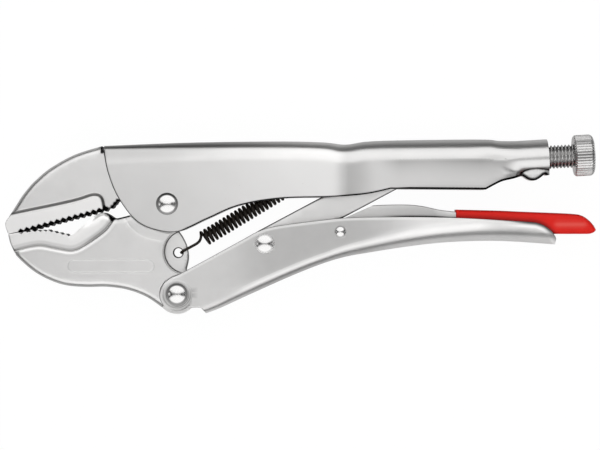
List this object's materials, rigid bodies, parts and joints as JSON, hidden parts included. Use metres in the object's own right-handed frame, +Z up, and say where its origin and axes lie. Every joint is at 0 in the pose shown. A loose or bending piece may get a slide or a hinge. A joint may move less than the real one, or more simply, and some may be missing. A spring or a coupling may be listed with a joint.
{
  "type": "locking pliers",
  "caption": "Locking pliers with serrated curved jaws, a riveted toggle linkage, draw spring, knurled adjusting screw and a release lever with a red sleeve, shown closed and lying flat.",
  "frame": {"origin": "centre of the tool's length and height as it lies, on the plane that its rivet heads rest on", "axes": "+X from the jaws' nose to the adjusting knob, +Y from the lower handle to the upper handle, +Z up out of the flat side"},
  "size_m": [0.2492, 0.076, 0.019],
  "materials": {
    "handle_steel": "satin nickel-plated pressed sheet steel",
    "jaw_steel": "satin nickel-plated forged steel",
    "rivet_steel": "polished domed heads",
    "screw_steel": "zinc-plated rolled thread",
    "knob_steel": "nickel-plated straight knurl",
    "spring_steel": "oil-blackened spring wire",
    "red_plastic": "dipped soft plastic, satin gloss"
  },
  "bodies": {
    "upper_frame": {"upper_handle": "handle_steel", "fixed_jaw": "jaw_steel", "jaw_pivot_rivet": "rivet_steel", "draw_spring": "spring_steel"},
    "moving_jaw": {"moving_jaw": "jaw_steel"},
    "lower_handle": {"lower_handle": "handle_steel", "lower_handle_rivet": "rivet_steel", "link_rivet": "rivet_steel", "release_lever_rivet": "rivet_steel"},
    "toggle_link": {"toggle_link": "handle_steel"},
    "release_lever": {"release_lever": "handle_steel", "release_lever_sleeve": "red_plastic"},
    "adjusting_screw": {"adjusting_screw": "screw_steel"},
    "knurled_knob": {"knurled_knob": "knob_steel"}
  },
  "joints": [
    {"name": "jaw_pivot", "type": "hinge", "parent": "upper_frame", "child": "moving_jaw", "pos_m": [-0.0561, 0.00845, 0.0095], "axis": [0, 0, 1], "range_deg": [0, 16], "deforming": ["draw_spring"]},
    {"name": "lower_handle_pivot", "type": "hinge", "parent": "moving_jaw", "child": "lower_handle", "pos_m": [-0.052, -0.02955, 0.0095], "axis": [0, 0, 1], "range_deg": [-52, 0]},
    {"name": "link_pivot", "type": "hinge", "parent": "lower_handle", "child": "toggle_link", "pos_m": [-0.0151, -0.00825, 0.0095], "axis": [0, 0, 1], "range_deg": [0, 60]},
    {"name": "release_lever_pivot", "type": "hinge", "parent": "lower_handle", "child": "release_lever", "pos_m": [0.0167, -0.00325, 0.0095], "axis": [0, 0, 1], "range_deg": [0, 4]},
    {"name": "screw_slide", "type": "slide", "parent": "upper_frame", "child": "adjusting_screw", "axis": [0.9986, 0.0523, 0], "range_m": [0, 0.016]},
    {"name": "knob_turn", "type": "hinge", "parent": "adjusting_screw", "child": "knurled_knob", "pos_m": [0.11558, 0.02882, 0.0095], "axis": [0.9986, 0.0523, 0], "range_deg": [0, 3600]}
  ],
  "couplings": [
    {"joint": "jaw_pivot", "follows": "lower_handle_pivot", "ratio": -0.30769},
    {"joint": "link_pivot", "follows": "lower_handle_pivot", "ratio": -1.1538},
    {"joint": "screw_slide", "follows": "knob_turn", "m_per_rad": 0.00023873}
  ]
}
